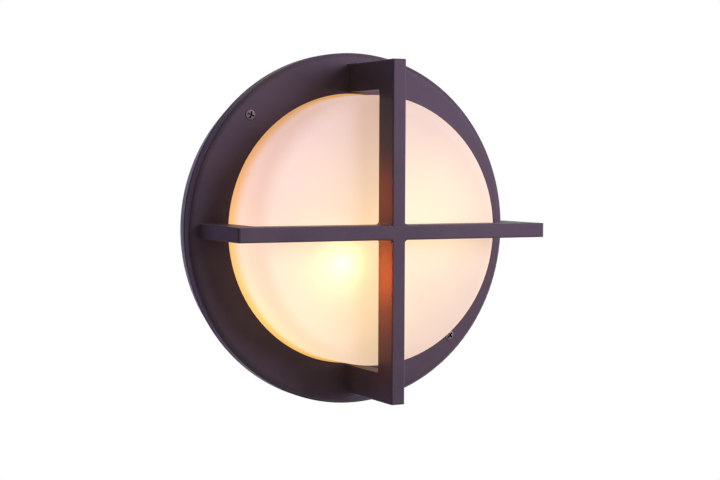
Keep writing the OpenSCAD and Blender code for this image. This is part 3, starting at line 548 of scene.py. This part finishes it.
def screwTree(form):
    tree = bpy.data.node_groups.new("crossHeadScrews", "GeometryNodeTree")
    tree.interface.new_socket("Geometry", in_out="INPUT", socket_type="NodeSocketGeometry")
    for name in ("threadRadius", "headRadius", "headRise", "domeRadius", "length", "pitch",
                 "recessWidth", "recessLength"):
        tree.interface.new_socket(name, in_out="INPUT", socket_type="NodeSocketFloat")
    tree.interface.new_socket("finish", in_out="INPUT", socket_type="NodeSocketMaterial")
    tree.interface.new_socket("Geometry", in_out="OUTPUT", socket_type="NodeSocketGeometry")
    given = addNode(tree, "NodeGroupInput").outputs
    parts = [screwHead(tree, given, form)] + screwShank(tree, given, form)
    screw = addNode(tree, "GeometryNodeJoinGeometry", {0: parts})
    # one screw on each point, facing the point's own way and turned by its own angle
    aim = addNode(tree, "GeometryNodeInputNamedAttribute", {"Name": "aim"}, data_type="FLOAT_VECTOR")
    turn = addNode(tree, "GeometryNodeInputNamedAttribute", {"Name": "turn"}, data_type="FLOAT")
    faced = addNode(tree, "FunctionNodeAlignRotationToVector", {"Vector": aim.outputs[0]}, axis="Z")
    spun = addNode(tree, "FunctionNodeAxisAngleToRotation", {"Axis": (0, 0, 1), "Angle": turn.outputs[0]})
    way = addNode(tree, "FunctionNodeRotateRotation",
                  {"Rotation": faced.outputs[0], "Rotate By": spun.outputs[0]}, rotation_space="LOCAL")
    placed = addNode(tree, "GeometryNodeInstanceOnPoints",
                     {"Points": given["Geometry"], "Instance": screw.outputs[0],
                      "Rotation": way.outputs[0]})
    solid = addNode(tree, "GeometryNodeRealizeInstances", {0: placed.outputs[0]})
    done = addNode(tree, "GeometryNodeSetMaterial",
                   {"Geometry": solid.outputs[0], "Material": given["finish"]})
    addNode(tree, "NodeGroupOutput", {0: done.outputs[0]})
    return tree


# What the tree takes for one set, in mm
def screwSizes(sizes, form):
    rise = form["rise"] * sizes["head"]
    dome = form["dome"] * rise
    headRadius = sizes["head"] / 2
    return {
        "threadRadius": sizes["thread"] / 2, "headRadius": headRadius, "headRise": rise,
        "domeRadius": (headRadius ** 2 + dome ** 2) / (2 * dome),
        "length": sizes["length"], "pitch": sizes["pitch"],
        "recessWidth": form["recessWidth"] * sizes["head"],
        "recessLength": form["recessLength"] * sizes["head"],
    }


def makeScrews(tree, name, sizes, form):
    taken = screwSizes(sizes, form)
    points, aims = [], []
    for low, high in screwBoxes(name):
        middle = (low + high) / 2
        outward = (math.copysign(1, middle.x), 0, 0)
        aim = Vector(outward if sizes["aim"] == "outward" else sizes["aim"])
        reach = abs(aim.dot(high - low)) / 2
        points.append(middle + aim * (reach - taken["headRise"] * mm))
        aims.append(aim)
    mesh = bpy.data.meshes.new(name + "Points")
    mesh.from_pydata(points, [], [])
    mesh.attributes.new("aim", "FLOAT_VECTOR", "POINT")
    mesh.attributes.new("turn", "FLOAT", "POINT")
    for i, aim in enumerate(aims):
        mesh.attributes["aim"].data[i].vector = aim
        mesh.attributes["turn"].data[i].value = math.radians(sizes["turns"][i])
    holder = addObject(name + "Points", mesh)
    change = holder.modifiers.new("screws", "NODES")
    change.node_group = tree
    sockets = {item.name: item.identifier for item in tree.interface.items_tree if item.in_out == "INPUT"}
    for key, value in taken.items():
        change[sockets[key]] = value * mm
    change[sockets["finish"]] = finishes[slotOf[name]]
    seen = holder.evaluated_get(bpy.context.evaluated_depsgraph_get())
    baked = bpy.data.meshes.new_from_object(seen)
    bpy.data.objects.remove(holder)
    baked.shade_smooth()
    baked.set_sharp_from_angle(angle=math.radians(form["sharpAngle"]))
    piece = addObject(name + "Turned", baked)
    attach(piece, "root")
    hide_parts(name)
    print(" ", name, len(points), "screws,", len(baked.polygons), "faces")


tree = screwTree(screwForm)
for name, sizes in screwSets.items():
    makeScrews(tree, name, sizes, screwForm)
print("screws")


# Outer edge of the cast ring: the face rolls over and drops to a narrow ledge before the side begins
# each a quarter turn in mm, from the face to the side: centre, reach outward and forward, points along it
ringEdge = {
    "plain": {"centre": (147.0, -37.0), "reach": (3.0, 3.0), "points": 12},
    "roll": {"centre": (144.5, -37.85), "reach": (4.25, 2.15), "points": 8},
    "ledge": {"centre": (149.55, -37.2), "reach": (0.45, 0.65), "points": 4},
    "near": 0.12,   # a point as close as this to the plain rounding is part of it
}


def quarterTurn(arc):
    (x, y), (wide, deep) = arc["centre"], arc["reach"]
    steps = [math.radians(90 * i / (arc["points"] - 1)) for i in range(arc["points"])]
    return [(x + wide * math.sin(a), y - deep * math.cos(a)) for a in steps]


# The way that the straight line between two points of the edge faces
def facing(first, second):
    return Vector((second[1] - first[1], first[0] - second[0])).normalized()


def reshapeEdge(edge):
    mesh = nodes["guard_frame"].data.copy()
    before = quarterTurn(edge["plain"])
    after = quarterTurn(edge["roll"]) + quarterTurn(edge["ledge"])
    # the crease, and the next point, where the ledge begins to round: both keep the facing of each side
    corners = (edge["roll"]["points"] - 1, edge["roll"]["points"])
    rowOf = {}
    for v in mesh.vertices:
        here = (math.hypot(v.co.x, v.co.z) / mm, v.co.y / mm)
        row = min(range(len(before)), key=lambda i: math.dist(here, before[i]))
        if math.dist(here, before[row]) < edge["near"]:
            rowOf[v.index] = row
    # the way each stretch of the new edge faces, and each point of it where the stretches meet smoothly,
    # from straight forward at the face to straight outward at the side
    faces = [facing(a, b) for a, b in zip(after, after[1:])]
    ways = [Vector((0, -1))] + [(a + b).normalized() for a, b in zip(faces, faces[1:])] + [Vector((1, 0))]
    normals = [Vector(n.vector) for n in mesh.corner_normals]
    for face in mesh.polygons:
        rows = [rowOf.get(i) for i in face.vertices]
        if None in rows or min(rows) == max(rows):
            continue
        flat = facing(after[min(rows)], after[max(rows)])
        for loop, index, row in zip(face.loop_indices, face.vertices, rows):
            way = flat if row in corners else ways[row]
            out = Vector((mesh.vertices[index].co.x, 0, mesh.vertices[index].co.z)).normalized()
            normals[loop] = out * way.x + Vector((0, way.y, 0))
    for index, row in rowOf.items():
        v = mesh.vertices[index]
        scale = after[row][0] / before[row][0]
        v.co = (v.co.x * scale, after[row][1] * mm, v.co.z * scale)
    mesh.normals_split_custom_set(normals)
    piece = addObject("guardFrameEdged", mesh)
    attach(piece, "root")
    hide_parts("guard_frame")
    print("ring edge:", len(rowOf), "points reshaped")
    return piece


# What the bulb throws through the glass on to the upright bar: small lamps that light the frame alone, in m
barGlow = {
    "x": -0.046, "y": -0.106, "aim": (1, 0, 0), "width": 0.012, "spread": 110,   # spread in degrees
    "lamps": {
        "glowLow": {"z": -0.032, "height": 0.042, "power": 0.066, "colour": "#ff7a00"},
        "glowHigh": {"z": 0.028, "height": 0.036, "power": 0.016, "colour": "#ff6800"},
        "glowFoot": {"z": -0.082, "height": 0.044, "power": 0.009, "colour": "#ff6800"},
    },
}


def makeGlow(glow, lit):
    only = bpy.data.collections.new("glowOnly")
    only.objects.link(lit)
    for name, sizes in glow["lamps"].items():
        place = (glow["x"], glow["y"], sizes["z"])
        lamp = addLamp(name, place, Vector(glow["aim"]), sizes["power"], sizes["colour"])
        lamp.data.shape = "RECTANGLE"
        lamp.data.size, lamp.data.size_y = glow["width"], sizes["height"]
        lamp.data.spread = math.radians(glow["spread"])
        lamp.visible_camera = False
        lamp.visible_glossy = False
        lamp.light_linking.receiver_collection = only
    print("glow on the bar:", len(glow["lamps"]), "lamps")


makeGlow(barGlow, reshapeEdge(ringEdge))
